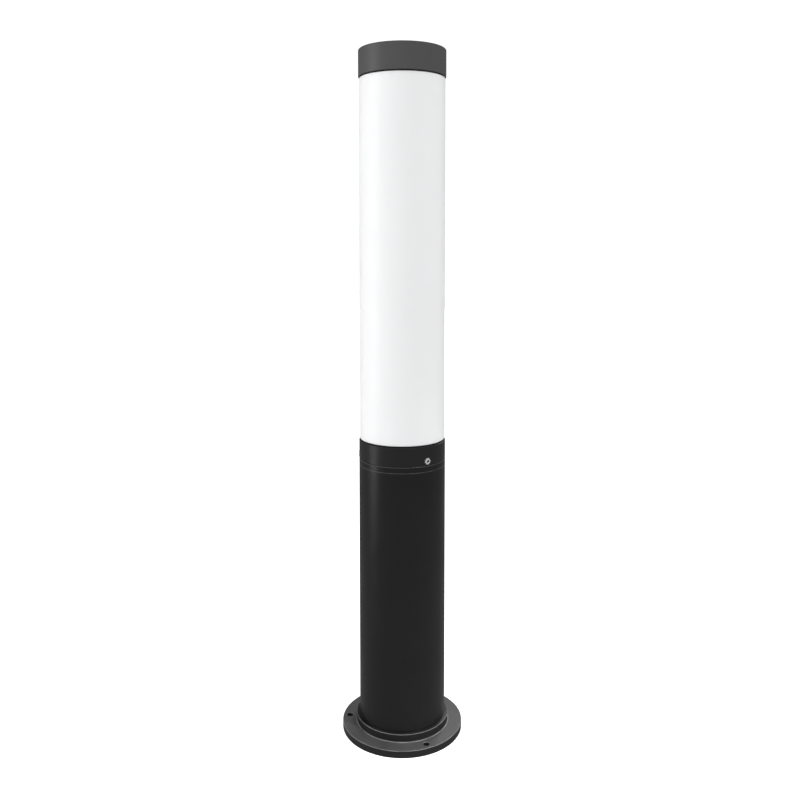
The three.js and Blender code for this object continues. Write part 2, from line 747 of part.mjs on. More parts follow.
// The three leads are held along their whole route inside the post.
function buildLeads() {
  const leads = new THREE.Group();
  const start = BLOCK_BOTTOM + 12;
  const left = -POLE_PITCH;
  const right = POLE_PITCH;
  const [liveX, liveY] = LIVE_XY;
  const [neutralX, neutralY] = NEUTRAL_XY;
  const end = HOLDER_FLOOR;
  const live = lead([
    [left, 0, start],
    [left, 0, 214],
    [-7, -5, 228],
    [liveX, liveY, 239],
    [liveX, liveY, 250],
    [liveX, liveY, end],
  ]);
  const neutral = lead([
    [right, 0, start],
    [right, 0, 214],
    [11.5, -6, 228],
    [neutralX, neutralY, 239],
    [neutralX, neutralY, 250],
    [neutralX, neutralY, end],
  ]);
  const [earthX, earthZ] = EARTH_SCREW;
  const earth = lead([
    [0, 0, start],
    [0, 0, 212],
    [-3, 2, 216],
    [earthX, 4.7, 219.5],
    [earthX, 4.7, earthZ - 9 - GAP],
  ]);
  leads.add(piece("live_lead", live, leadPlastic(0x6b3f22)));
  leads.add(piece("neutral_lead", neutral, leadPlastic(0x2a5f9e)));
  leads.add(piece("earth_lead", earth, leadPlastic(0x5f9a35)));
  return leads;
}

function buildLamp() {
  const lamp = new THREE.Group();
  lamp.add(piece("lamp_contact", lampContact(), brass()));
  lamp.add(piece("lamp_insulator", lampInsulator(), blackPlastic()));
  lamp.add(piece("lamp_cap_shell", lampCapShell(), stainless()));
  lamp.add(piece("lamp_housing", lampHousing(), whitePlastic()));
  lamp.add(piece("lamp_led_board", lampLedBoard(), castAluminium()));
  lamp.add(piece("lamp_globe", lampGlobe(), opal()));
  return lamp;
}

// Head: lifts off the post as one once its three screws are slackened.
function buildHead() {
  const head = new THREE.Group();
  head.add(piece("collar_ring", collarRing(), collarPaint()));
  head.add(piece("lower_seal", diffuserSeal(COLLAR_TOP + GAP), rubber()));
  head.add(piece("diffuser", diffuser(), opal()));
  head.add(piece("upper_seal", diffuserSeal(DIFFUSER_TOP + GAP), rubber()));
  head.add(piece("top_cap", topCap(), capPaint()));
  RETAINING_ANGLES.forEach((degrees, index) => {
    const outwards = around(degrees, 1, 0);
    const disc = washer(M3_HOLE, M3.head + 0.1, 0, WASHER_THICKNESS, SMALL);
    const seal = piece(`retaining_washer_${index + 1}`, disc, rubber());
    seal.position.copy(around(degrees, WASHER_SEAT, RETAINING_HEIGHT));
    seal.quaternion.setFromUnitVectors(UP, outwards);
    head.add(seal);
    const seat = around(degrees, RETAINING_SEAT, RETAINING_HEIGHT);
    head.add(placeScrew(`retaining_screw_${index + 1}`, M3, RETAINING_LENGTH, stainless(), seat, outwards));
  });
  return head;
}

const bollardLight = new THREE.Group();
bollardLight.add(buildPost(), buildLampholder(), buildTerminals(), buildLeads(), buildLamp(), buildHead());

export default bollardLight;
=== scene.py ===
import json
import math

import bmesh
import bpy
from mathutils import Matrix, Vector


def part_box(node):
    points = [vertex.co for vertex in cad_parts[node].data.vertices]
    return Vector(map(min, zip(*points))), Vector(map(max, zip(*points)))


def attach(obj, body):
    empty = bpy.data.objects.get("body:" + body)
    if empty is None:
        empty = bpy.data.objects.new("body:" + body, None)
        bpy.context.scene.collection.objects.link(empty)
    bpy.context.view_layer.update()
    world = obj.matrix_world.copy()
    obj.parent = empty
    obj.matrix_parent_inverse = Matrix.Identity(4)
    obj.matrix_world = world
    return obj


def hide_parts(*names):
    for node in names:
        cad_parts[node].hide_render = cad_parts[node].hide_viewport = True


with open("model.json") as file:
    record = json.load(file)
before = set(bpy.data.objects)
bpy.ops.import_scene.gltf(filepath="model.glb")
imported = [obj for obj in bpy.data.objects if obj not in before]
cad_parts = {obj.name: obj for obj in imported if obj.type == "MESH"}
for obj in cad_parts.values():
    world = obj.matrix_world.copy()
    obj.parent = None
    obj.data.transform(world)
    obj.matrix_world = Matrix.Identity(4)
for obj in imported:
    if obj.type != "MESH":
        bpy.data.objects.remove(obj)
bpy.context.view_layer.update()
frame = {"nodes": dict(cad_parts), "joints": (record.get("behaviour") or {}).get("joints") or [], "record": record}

# A garden bollard light, switched off, on a pale studio floor. Lengths are in metres.
MM = 0.001
GAP = 0.3 * MM

# Faces in a full turn of the post and head, the lamp, the rings and the small parts
ROUND = 192
LAMP_ROUND = 128
RING_ROUND = 96
SMALL_ROUND = 48
FILLET_STEPS = 5

# A radius under ON_AXIS is a pole, and a cutter runs CUT_PAST beyond the face that it opens
ON_AXIS = 1e-7
CUT_PAST = 1 * MM

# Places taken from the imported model
record = frame["record"]
MOUNTS = {mount["name"]: mount for mount in record["mounts"]}
BODY_OF = {node: body for body, nodes in record["behaviour"]["bodies"].items() for node in nodes}
AXIS_OF = {joint["child"]: Vector(joint["axis"]) for joint in frame["joints"]}


# ---------------------------------------------------------------- camera

def add_camera():
    data = bpy.data.cameras.new("camera")
    data.sensor_width = 36
    data.lens = 38.36
    data.shift_x = -0.00275
    data.shift_y = -0.1205
    data.clip_start = 0.01
    camera = bpy.data.objects.new("camera", data)
    camera.location = (0, -0.7458, 0.4342)
    camera.rotation_euler = (math.radians(86), 0, 0)
    bpy.context.scene.collection.objects.link(camera)
    bpy.context.scene.camera = camera


add_camera()


# ---------------------------------------------------------------- mesh building

def rounded(corners, closed=False):
    """A section's points, with each (radius, height, fillet) corner turned into an arc."""
    points = []
    count = len(corners)
    for index, (radius, height, fillet) in enumerate(corners):
        corner = Vector((radius, height))
        inside = closed or 0 < index < count - 1
        if fillet <= 0 or not inside:
            points.append(corner)
            continue
        before = Vector(corners[index - 1][:2]) - corner
        after = Vector(corners[(index + 1) % count][:2]) - corner
        half = before.angle(after) / 2
        reach = min(fillet / math.tan(half), 0.49 * before.length, 0.49 * after.length)
        bisector = (before.normalized() + after.normalized()).normalized()
        centre = corner + bisector * reach / math.cos(half)
        start = corner + before.normalized() * reach - centre
        end = corner + after.normalized() * reach - centre
        sweep = start.angle_signed(end)
        for step in range(FILLET_STEPS + 1):
            turn = Matrix.Rotation(-sweep * step / FILLET_STEPS, 2)
            points.append(centre + turn @ start)
    return points


def heights(low, high, step):
    """Heights up a straight wall, close enough together to carry a thread."""
    count = max(2, round((high - low) / step))
    return [low + (high - low) * index / count for index in range(count + 1)]


def lathe(name, points, segments=ROUND, closed=False, thread=None):
    """Turns a section about Z. thread is (pitch, depth, low, high): a helix cut between two heights."""
    mesh = bmesh.new()
    columns = []
    for segment in range(segments):
        angle = 2 * math.pi * segment / segments
        column = []
        for point in points:
            radius, height = point[0], point[1]
            if radius < ON_AXIS:
                column.append(None)
                continue
            if thread:
                radius -= thread_depth(thread, height, segment / segments)
            position = (radius * math.cos(angle), radius * math.sin(angle), height)
            column.append(mesh.verts.new(position))
        columns.append(column)
    poles = [mesh.verts.new((0, 0, p[1])) if p[0] < ON_AXIS else None for p in points]
    steps = len(points) if closed else len(points) - 1
    for segment in range(segments):
        here = columns[segment]
        there = columns[(segment + 1) % segments]
        for step in range(steps):
            following = (step + 1) % len(points)
            ring = [
                here[step] or poles[step],
                there[step] or poles[step],
                there[following] or poles[following],
                here[following] or poles[following],
            ]
            corners = list(dict.fromkeys(ring))
            if len(corners) > 2:
                mesh.faces.new(corners)
    return finish_mesh(name, mesh)


def thread_depth(thread, height, turn):
    """How deep a helical thread is at a height and a part of a turn."""
    pitch, depth, low, high = thread
    if not low < height < high:
        return 0
    fade = min(1, (height - low) / pitch, (high - height) / pitch)
    phase = (height / pitch - turn) % 1
    return depth * fade * (0.5 - 0.5 * math.cos(2 * math.pi * phase))


def prism(name, outline, low, high):
    """An upright prism over an outline of (x, y) points, anticlockwise."""
    mesh = bmesh.new()
    bottom = [mesh.verts.new((x, y, low)) for x, y in outline]
    top = [mesh.verts.new((x, y, high)) for x, y in outline]
    mesh.faces.new(list(reversed(bottom)))
    mesh.faces.new(top)
    for index in range(len(outline)):
        following = (index + 1) % len(outline)
        mesh.faces.new([bottom[index], bottom[following], top[following], top[index]])
    return finish_mesh(name, mesh)


def finish_mesh(name, mesh):
    data = bpy.data.meshes.new(name)
    bmesh.ops.recalc_face_normals(mesh, faces=mesh.faces)
    mesh.to_mesh(data)
    mesh.free()
    piece = bpy.data.objects.new(name, data)
    bpy.context.scene.collection.objects.link(piece)
    return piece


def bore(radius, low, high, chamfer=0.0, segments=SMALL_ROUND):
    """A cutter along Z whose upper mouth is chamfered at height 0."""
    points = [(0, low), (radius, low)]
    if chamfer:
        points += [(radius, -chamfer), (radius + chamfer, 0), (radius + chamfer + high, high)]
    else:
        points += [(radius, high)]
    return lathe("cutter", points + [(0, high)], segments)


def hexagon(radius, low, high):
    turns = [k * math.pi / 3 for k in range(6)]
    corners = [(radius * math.cos(turn), radius * math.sin(turn)) for turn in turns]
    return prism("cutter", corners, low, high)


def middle_of(node):
    return sum(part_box(node), Vector()) / 2


def placed(piece, position, direction=(0, 0, 1)):
    """Moves a piece's mesh so that its Z axis lies along a direction, from a position."""
    turn = Vector((0, 0, 1)).rotation_difference(Vector(direction)).to_matrix().to_4x4()
    piece.data.transform(Matrix.Translation(position) @ turn)
    return piece


def combined(piece, others, operation):
    """Joins other solids to a piece or cuts them out of it, and applies the result."""
    for other in others:
        modifier = piece.modifiers.new("combine", "BOOLEAN")
        modifier.operation = operation
        modifier.solver = "MANIFOLD"
        modifier.object = other
    bpy.context.view_layer.update()
    evaluated = piece.evaluated_get(bpy.context.evaluated_depsgraph_get())
    data = bpy.data.meshes.new_from_object(evaluated)
    data.materials.clear()
    piece.modifiers.clear()
    piece.data = data
    for other in others:
        bpy.data.objects.remove(other)


def smooth(piece, degrees=32):
    """Smooth shading that keeps the true edges sharp and the flats flat."""
    piece.data.polygons.foreach_set("use_smooth", [True] * len(piece.data.polygons))
    piece.data.set_sharp_from_angle(angle=math.radians(degrees))
    weighted = piece.modifiers.new("flat_shading", "WEIGHTED_NORMAL")
    weighted.keep_sharp = True


def stands_for(piece, material, *nodes, painted_shade=None):
    """Gives a finished piece its materials, its body and the CAD nodes that it replaces."""
    smooth(piece)
    piece.data.materials.append(material)
    # A second material, where given, is the painted shade inside a screw socket.
    if painted_shade:
        piece.data.materials.append(painted_shade)
    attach(piece, BODY_OF[nodes[0]])
    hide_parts(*nodes)


# ---------------------------------------------------------------- materials

class Surface:
    """A Principled material built up from procedural layers, in object coordinates."""

    def __init__(self, name, **values):
        self.material = bpy.data.materials.new(name)
        self.material.use_nodes = True
        self.nodes = self.material.node_tree.nodes
        self.links = self.material.node_tree.links
        self.shader = self.nodes["Principled BSDF"]
        self.place = self.nodes.new("ShaderNodeTexCoord").outputs["Object"]
        for socket, value in values.items():
            self.shader.inputs[socket.replace("_", " ")].default_value = value

    def noise(self, scale, detail=4.0):
        node = self.nodes.new("ShaderNodeTexNoise")
        node.inputs["Scale"].default_value = scale
        node.inputs["Detail"].default_value = detail
        self.links.new(self.place, node.inputs["Vector"])
        return node.outputs["Fac"]

    def cells(self, scale):
        node = self.nodes.new("ShaderNodeTexVoronoi")
        node.feature = "SMOOTH_F1"
        node.inputs["Scale"].default_value = scale
        self.links.new(self.place, node.inputs["Vector"])
        return node.outputs["Distance"]

    def spread(self, source, low, high, start=0.3, stop=0.7):
        node = self.nodes.new("ShaderNodeMapRange")
        node.inputs["From Min"].default_value = start
        node.inputs["From Max"].default_value = stop
        node.inputs["To Min"].default_value = low
        node.inputs["To Max"].default_value = high
        self.links.new(source, node.inputs["Value"])
        return node.outputs["Result"]

    def colours(self, source, first, second, start=0.3, stop=0.7):
        node = self.nodes.new("ShaderNodeValToRGB")
        node.color_ramp.elements[0].position = start
        node.color_ramp.elements[0].color = (*first, 1)
        node.color_ramp.elements[1].position = stop
        node.color_ramp.elements[1].color = (*second, 1)
        self.links.new(source, node.inputs["Fac"])
        return node.outputs["Color"]

    def mixed(self, share, first, second):
        node = self.nodes.new("ShaderNodeMix")
        node.data_type = "RGBA"
        self.links.new(share, node.inputs["Factor"])
        self.links.new(first, node.inputs["A"])
        self.links.new(second, node.inputs["B"])
        return node.outputs["Result"]

    def bump(self, source, depth, strength=1.0):
        node = self.nodes.new("ShaderNodeBump")
        node.inputs["Strength"].default_value = strength
        node.inputs["Distance"].default_value = depth
        self.links.new(source, node.inputs["Height"])
        chained = self.shader.inputs["Normal"].links
        if chained:
            self.links.new(chained[0].from_socket, node.inputs["Normal"])
        self.links.new(node.outputs["Normal"], self.shader.inputs["Normal"])

    def upward(self, kind):
        """Z of a coordinate: "Object" gives the height in metres, and "Normal" 1 on a level top."""
        split = self.nodes.new("ShaderNodeSeparateXYZ")
        self.links.new(self.nodes["Texture Coordinate"].outputs[kind], split.inputs["Vector"])
        return split.outputs["Z"]

    def math(self, operation, *sources):
        node = self.nodes.new("ShaderNodeMath")
        node.operation = operation
        for source, socket in zip(sources, node.inputs):
            self.links.new(source, socket)
        return node.outputs["Value"]

    def rounded_edges(self):
        """1 on the rounded edges between walls and levels, and 0 on both."""
        slope = self.math("ABSOLUTE", self.upward("Normal"))
        off_walls = self.spread(slope, 0, 1, 0.1, 0.35)
        off_levels = self.spread(slope, 1, 0, 0.88, 0.98)
        return self.math("MULTIPLY", off_walls, off_levels)

    def base(self, source):
        self.links.new(source, self.shader.inputs["Base Color"])

    def roughness(self, source):
        self.links.new(source, self.shader.inputs["Roughness"])


def grey(value):
    return (value, value, value * 1.02)


def powder_coat(name, dark, light, gloss, edge_light, top_light=0.0, top_light_level=0.0):
    """Satin powder coat with orange peel and specks, a painted highlight on its rounded edges, and painted light
    from above on level tops up to a level.
    """
    surface = Surface(name, Specular_IOR_Level=0.42)
    clouds = surface.colours(surface.noise(18), grey(dark), grey(light))
    specks = surface.spread(surface.noise(900, 2), 0, 0.35, 0.66, 0.78)
    dusted = surface.colours(surface.noise(60), grey(light * 1.3), grey(light * 1.6))
    coat = surface.mixed(specks, clouds, dusted)
    # Painted light: level tops up to the level are lightened as if lit from above; higher tops, such as the ledge
    # beside the post, keep the dark coat as if in the post's shade.
    if top_light:
        painted_top_light = surface.colours(surface.noise(45, 5), grey(top_light * 0.85), grey(top_light * 1.15))
        level = surface.spread(surface.upward("Normal"), 0, 1, 0.9, 0.98)
        low = surface.spread(surface.upward("Object"), 1, 0, top_light_level + 1 * MM, top_light_level + 2 * MM)
        coat = surface.mixed(surface.math("MULTIPLY", level, low), coat, painted_top_light)
    # Painted highlight: rounded edges between walls and levels take a lighter tone, as if catching light.
    painted_edge_light = surface.colours(surface.noise(160, 3), grey(edge_light * 0.7), grey(edge_light * 1.3))
    coat = surface.mixed(surface.rounded_edges(), coat, painted_edge_light)
    surface.base(coat)
    surface.roughness(surface.spread(surface.noise(35), gloss - 0.04, gloss + 0.06))
    surface.bump(surface.cells(850), 0.03 * MM, 0.5)
    surface.bump(surface.noise(2600, 2), 0.01 * MM, 0.4)
    return surface.material


def opal(name, tone, depth):
    """Opal plastic: light soaks in a few millimetres, and the skin is smooth."""
    surface = Surface(name, Subsurface_Weight=0.75, Subsurface_Scale=depth, Specular_IOR_Level=0.35)
    surface.shader.inputs["Subsurface Radius"].default_value = (1.0, 0.97, 0.93)
    surface.base(surface.colours(surface.noise(9, 2), tone, tuple(0.985 * c for c in tone)))
    surface.roughness(surface.spread(surface.noise(40), 0.3, 0.4))
    surface.bump(surface.noise(220, 2), 0.02 * MM, 0.25)
    return surface.material


def metal(name, dark, light, gloss, shine=1.0, scale=700):
    """Bare metal with fine tool or rolling marks. Passivated or plated skins shine less."""
    surface = Surface(name, Metallic=shine)
    marks = surface.noise(scale, 3)
    surface.base(surface.colours(marks, dark, light))
    surface.roughness(surface.spread(surface.noise(90), gloss - 0.06, gloss + 0.08))
    surface.bump(marks, 0.01 * MM, 0.4)
    return surface.material


def cast_metal(name):
    """Sand-blasted die casting."""
    surface = Surface(name, Metallic=0.7)
    surface.base(surface.colours(surface.noise(400, 4), (0.42, 0.43, 0.44), (0.58, 0.59, 0.6)))
    surface.roughness(surface.spread(surface.noise(120), 0.42, 0.58))
    surface.bump(surface.noise(1400, 3), 0.04 * MM, 0.5)
    return surface.material


def rubber(name):
    surface = Surface(name, Specular_IOR_Level=0.3)
    bloom = surface.noise(140, 5)
    surface.base(surface.colours(bloom, (0.012, 0.012, 0.012), (0.03, 0.03, 0.031)))
    surface.roughness(surface.spread(bloom, 0.7, 0.88))
    surface.bump(surface.noise(1500, 2), 0.03 * MM, 0.4)
    return surface.material


def porcelain(name):
    """Glazed porcelain with tiny iron specks."""
    surface = Surface(name, Coat_Weight=0.6, Coat_Roughness=0.06)
    body = surface.colours(surface.noise(25), (0.8, 0.78, 0.73), (0.86, 0.845, 0.8))
    specks = surface.spread(surface.noise(1300, 1), 0, 0.5, 0.74, 0.8)
    spots = surface.colours(surface.noise(50), (0.4, 0.33, 0.24), (0.5, 0.42, 0.32))
    surface.base(surface.mixed(specks, body, spots))
    surface.roughness(surface.spread(surface.noise(60), 0.16, 0.26))
    surface.bump(surface.noise(160, 2), 0.05 * MM, 0.3)
    return surface.material


def moulded(name, dark, light, gloss):
    """Moulded plastic with a fine spark-eroded grain."""
    surface = Surface(name, Specular_IOR_Level=0.45)
    surface.base(surface.colours(surface.noise(70, 4), dark, light))
    surface.roughness(surface.spread(surface.noise(150), gloss - 0.05, gloss + 0.07))
    surface.bump(surface.noise(2200, 2), 0.015 * MM, 0.5)
    return surface.material


# In each coat, the last tone is a painted highlight on its rounded edges.
POST_COAT = powder_coat("post_powder_coat", 0.008, 0.01, 0.33, edge_light=0.07)
COLLAR_COAT = powder_coat("collar_powder_coat", 0.011, 0.0135, 0.35, edge_light=0.02)
# The cap has the post's powder coat; its copy is painted several times lighter, painted light on the cap.
CAP_COAT_PAINTED_LIGHTER = powder_coat("cap_coat_painted_lighter", 0.068, 0.078, 0.44, edge_light=0.05)
OPAL = opal("opal_diffuser", (0.95, 0.95, 0.947), 6 * MM)
GLOBE_OPAL = opal("opal_lamp_globe", (0.9, 0.895, 0.87), 3 * MM)
STAINLESS = metal("stainless_steel", (0.6, 0.6, 0.59), (0.74, 0.74, 0.73), 0.34, shine=0.5)
# Near-black painted shade for the depth of the screw sockets.
SOCKET_SHADE = moulded("socket_painted_shade", (0.01, 0.009, 0.008), (0.03, 0.028, 0.026), 0.75)
ZINC = metal("zinc_plated_steel", (0.46, 0.47, 0.46), (0.62, 0.63, 0.64), 0.36, shine=0.7)
NICKEL = metal("nickel_shell", (0.6, 0.58, 0.54), (0.72, 0.7, 0.66), 0.24, shine=0.8)
BRASS = metal("brass_contact", (0.62, 0.43, 0.17), (0.76, 0.56, 0.26), 0.28)
CASTING = cast_metal("cast_aluminium")
RUBBER = rubber("black_rubber")
PORCELAIN = porcelain("glazed_porcelain")
WHITE_PLASTIC = moulded("white_moulding", (0.78, 0.78, 0.76), (0.84, 0.84, 0.82), 0.4)
BLACK_PLASTIC = moulded("black_moulding", (0.015, 0.015, 0.016), (0.03, 0.03, 0.031), 0.25)
BROWN_LEAD = moulded("brown_insulation", (0.1, 0.04, 0.018), (0.14, 0.06, 0.025), 0.42)
BLUE_LEAD = moulded("blue_insulation", (0.02, 0.1, 0.3), (0.03, 0.14, 0.38), 0.42)
GREEN_LEAD = moulded("green_insulation", (0.07, 0.22, 0.03), (0.12, 0.32, 0.05), 0.42)


# ---------------------------------------------------------------- post and base

POST_LOW, POST_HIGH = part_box("post_tube")
POST_RADIUS = POST_HIGH.x
FLANGE_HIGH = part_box("base_flange")[1]
FLANGE_RADIUS = FLANGE_HIGH.x
FLANGE_TOP = MOUNTS["flange_top"]["pos_m"][2]
STEP_TOP = POST_LOW.z - GAP
# The flange's level top is painted lighter up to the flange top, painted light from above, and its rounded edges
# carry the strongest painted highlight.
FLANGE_COAT = powder_coat(
    "flange_powder_coat", 0.0115, 0.014, 0.42, edge_light=0.13, top_light=0.055, top_light_level=FLANGE_TOP
)
PORTS = [middle_of(f"base_screw_{k}") for k in (1, 2, 3)]
POST_WALL = 2.4 * MM
POST_BORE = POST_RADIUS - POST_WALL
PORT_BOSS = 4.3 * MM
PORT_HOLE = 2.3 * MM
PORT_WEB = 3 * MM
WEB_SLOT = PORT_WEB + 1 * MM
SCREW_WELL = 4 * MM
BASE_WELL_DEPTH = 4.8 * MM
ADAPTER_WELL_DEPTH = 6 * MM
ANCHOR_ANGLES = (26, 146, 266)
ANCHOR_CIRCLE = 47.5 * MM
ANCHOR_HOLE = 2.75 * MM
LINE_BELOW_TOP = 5.2 * MM
LINE_DEPTH = 0.1 * MM
SPIGOT_WALL = 1.9 * MM
SPIGOT = POST_BORE - 0.4 * MM


def web_block(port, inner, width, low, high):
    """A box from a radius to the post's wall, along the web of one screw port."""
    out = Vector((port.x, port.y)).normalized()
    side = Vector((-out.y, out.x)) * width / 2
    outer = out * (POST_BORE + 0.8 * MM)
    inner_end = out * inner
    corners = [inner_end - side, outer - side, outer + side, inner_end + side]
    return prism("web", corners, low, high)


def build_flange():
    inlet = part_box("cable_grommet")[1].x - 2.6 * MM
    step_radius = POST_RADIUS + 3 * MM
    corners = [
        (inlet, 0, 0.4 * MM),
        (FLANGE_RADIUS, 0, 0.5 * MM),
        (FLANGE_RADIUS, FLANGE_TOP, 0.55 * MM),
        (step_radius, FLANGE_TOP, 0.9 * MM),
        (step_radius, STEP_TOP, 0.5 * MM),
        (SPIGOT, STEP_TOP, 0.2 * MM),
        (SPIGOT, FLANGE_HIGH.z, 0.5 * MM),
        (SPIGOT - SPIGOT_WALL, FLANGE_HIGH.z, 0.3 * MM),
        (SPIGOT - SPIGOT_WALL, STEP_TOP, 0.3 * MM),
        (inlet, STEP_TOP, 0.4 * MM),
    ]
    flange = lathe("anchor_flange", rounded(corners, closed=True), ROUND, closed=True)
    cutters = []
    for degrees in ANCHOR_ANGLES:
        angle = math.radians(degrees)
        x, y = ANCHOR_CIRCLE * math.sin(angle), -ANCHOR_CIRCLE * math.cos(angle)
        hole = bore(ANCHOR_HOLE, -9 * MM, CUT_PAST, 0.3 * MM)
        cutters.append(placed(hole, (x, y, FLANGE_TOP)))
    for port in PORTS:
        well = bore(SCREW_WELL, -BASE_WELL_DEPTH, CUT_PAST, 0.3 * MM)
        cutters.append(placed(well, (port.x, port.y, 0), (0, 0, -1)))
        hole = bore(PORT_HOLE, -STEP_TOP - CUT_PAST, CUT_PAST, 0.3 * MM)
        cutters.append(placed(hole, (port.x, port.y, STEP_TOP)))
        inner = SPIGOT - SPIGOT_WALL - CUT_PAST
        cutters.append(web_block(port, inner, WEB_SLOT, STEP_TOP, FLANGE_HIGH.z + CUT_PAST))
    combined(flange, cutters, "DIFFERENCE")
    stands_for(flange, FLANGE_COAT, "base_flange")


def build_post():
    line = POST_HIGH.z - LINE_BELOW_TOP
    corners = [
        (POST_BORE, POST_LOW.z, 0.2 * MM),
        (POST_RADIUS, POST_LOW.z, 0.3 * MM),
        (POST_RADIUS, line - 0.25 * MM, 0.1 * MM),
        (POST_RADIUS - LINE_DEPTH, line, 0.1 * MM),
        (POST_RADIUS, line + 0.25 * MM, 0.1 * MM),
        (POST_RADIUS, POST_HIGH.z, 0.55 * MM),
        (POST_BORE, POST_HIGH.z, 0.2 * MM),
    ]
    tube = lathe("post_tube_skin", rounded(corners, closed=True), ROUND, closed=True)
    additions = []
    holes = []
    inside = 0.01 * MM
    bottom = POST_LOW.z + inside
    top = POST_HIGH.z - inside
    for port in PORTS:
        boss = bore(PORT_BOSS, bottom, top)
        additions.append(placed(boss, (port.x, port.y, 0)))
        additions.append(web_block(port, port.xy.length, PORT_WEB, bottom, top))
        hole = bore(PORT_HOLE, POST_LOW.z - CUT_PAST, POST_HIGH.z + CUT_PAST)
        holes.append(placed(hole, (port.x, port.y, 0)))
    combined(tube, additions, "UNION")
    combined(tube, holes, "DIFFERENCE")
    stands_for(tube, POST_COAT, "post_tube")


def build_grommet():
    low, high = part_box("cable_grommet")
    rim = high.x
    body = rim - 2.9 * MM
    bore_radius = body - 4.7 * MM
    seat = STEP_TOP + GAP
    corners = [
        (bore_radius, low.z, 0.6 * MM),
        (body, low.z, 1.2 * MM),
        (body, seat, 0.2 * MM),
        (rim, seat, 0.5 * MM),
        (rim, high.z, 0.7 * MM),
        (bore_radius, high.z, 0.9 * MM),
    ]
    grommet = lathe("inlet_grommet", rounded(corners, closed=True), RING_ROUND, closed=True)
    stands_for(grommet, RUBBER, "cable_grommet")


# ---------------------------------------------------------------- screws

# Radii of the shank, head and socket, the head's height and the thread's pitch
M3 = {"shank": 1.5 * MM, "head": 2.8 * MM, "height": 1.6 * MM, "socket": 1.15 * MM, "pitch": 0.5 * MM}
M4 = {"shank": 2.0 * MM, "head": 3.5 * MM, "height": 3.2 * MM, "socket": 1.7 * MM, "pitch": 0.7 * MM}
BUTTON_RIM = 0.35 * MM
DOME_STEPS = 8


def socket_screw(name, size, length, button=False):
    """A hex-socket screw along Z with a cut thread, its head standing on height 0."""
    shank = size["shank"]
    head = size["head"]
    height = size["height"]
    pitch = size["pitch"]
    corners = [(0, -length, 0), (shank - 0.3 * MM, -length, 0)]
    corners += [(shank, level, 0) for level in heights(-length + 0.3 * MM, -0.4 * MM, pitch / 6)]
    corners += [(shank, 0, 0), (head, 0, 0.15 * MM)]
    if button:
        dome = height - BUTTON_RIM
        corners += [(head, BUTTON_RIM, 0)]
        for step in range(1, DOME_STEPS + 1):
            angle = step * math.pi / (2 * DOME_STEPS)
            reach = head - 0.85 * MM * (1 - math.cos(angle))
            corners.append((reach, BUTTON_RIM + dome * math.sin(angle), 0))
        corners += [(0.6 * head, height, 0)]
    else:
        corners += [(head, height, 0.3 * MM)]
    corners += [(0, height, 0)]
    thread = (pitch, 0.3 * pitch, -length, -0.3 * MM)
    screw = lathe(name, rounded(corners), SMALL_ROUND, thread=thread)
    socket = size["socket"]
    floor = height * 0.25
    mouth = bore(socket * 0.9, -0.2 * MM, 1 * MM, 0.18 * MM)
    cutters = [hexagon(socket, floor, height + 1 * MM), placed(mouth, (0, 0, height))]
    combined(screw, cutters, "DIFFERENCE")
    # The socket's walls and floor take the second material, a painted shade.
    for face in screw.data.polygons:
        inside = face.center.xy.length < 1.01 * socket
        if inside and 0.99 * floor < face.center.z < height - 0.15 * MM:
            face.material_index = 1
    return screw


def upright_screw(node, size, length, up, material):
    low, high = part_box(node)
    middle = (low + high) / 2
    seat = high.z - size["height"] if up else low.z + size["height"]
    screw = socket_screw(node + "_cut", size, length)
    placed(screw, (middle.x, middle.y, seat), (0, 0, 1 if up else -1))
    stands_for(screw, material, node, painted_shade=SOCKET_SHADE)


def forward_screw(node, size, length, material):
    low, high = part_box(node)
    middle = (low + high) / 2
    screw = socket_screw(node + "_cut", size, length)
    placed(screw, (middle.x, low.y + size["height"], middle.z), (0, -1, 0))
    stands_for(screw, material, node, painted_shade=SOCKET_SHADE)


def build_screws():
    for number in (1, 2, 3):
        upright_screw(f"base_screw_{number}", M4, 20 * MM, False, ZINC)
        upright_screw(f"adapter_screw_{number}", M4, 20 * MM, True, ZINC)
    for number in (1, 2):
        upright_screw(f"lampholder_screw_{number}", M4, 16 * MM, True, ZINC)
        upright_screw(f"bracket_screw_{number}", M4, 8 * MM, False, ZINC)
        forward_screw(f"block_screw_{number}", M3, 18 * MM, ZINC)
    forward_screw("earth_screw", M4, 6 * MM, STAINLESS)


# ---------------------------------------------------------------- head

CAP_LOW, CAP_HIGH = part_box("top_cap")
COLLAR_LOW, COLLAR_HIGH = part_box("collar_ring")
DIFFUSER_LOW, DIFFUSER_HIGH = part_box("diffuser")
COLLAR_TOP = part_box("lower_seal")[0].z - GAP
CAP_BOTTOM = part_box("upper_seal")[1].z + GAP
HEAD_RADIUS = COLLAR_HIGH.x
DIFFUSER_RADIUS = DIFFUSER_HIGH.x
HEAD_SPIGOT = DIFFUSER_RADIUS - 2.85 * MM
COLLAR_BORE = 31.6 * MM
SCREW_SEAT = 36.9 * MM
WASHER_SEAT = 36.0 * MM
WELL_FLOOR = 35.7 * MM
WELL_RADIUS = 3.2 * MM
SCREW_HOLE = 1.8 * MM
WASHER_RADIUS = 2.9 * MM
WASHER_THICKNESS = 0.6 * MM


def retaining_places():
    """The outward direction and height of each retaining screw."""
    for number in (1, 2, 3):
        low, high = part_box(f"retaining_screw_{number}")
        yield number, AXIS_OF[BODY_OF[f"retaining_screw_{number}"]], (low.z + high.z) / 2


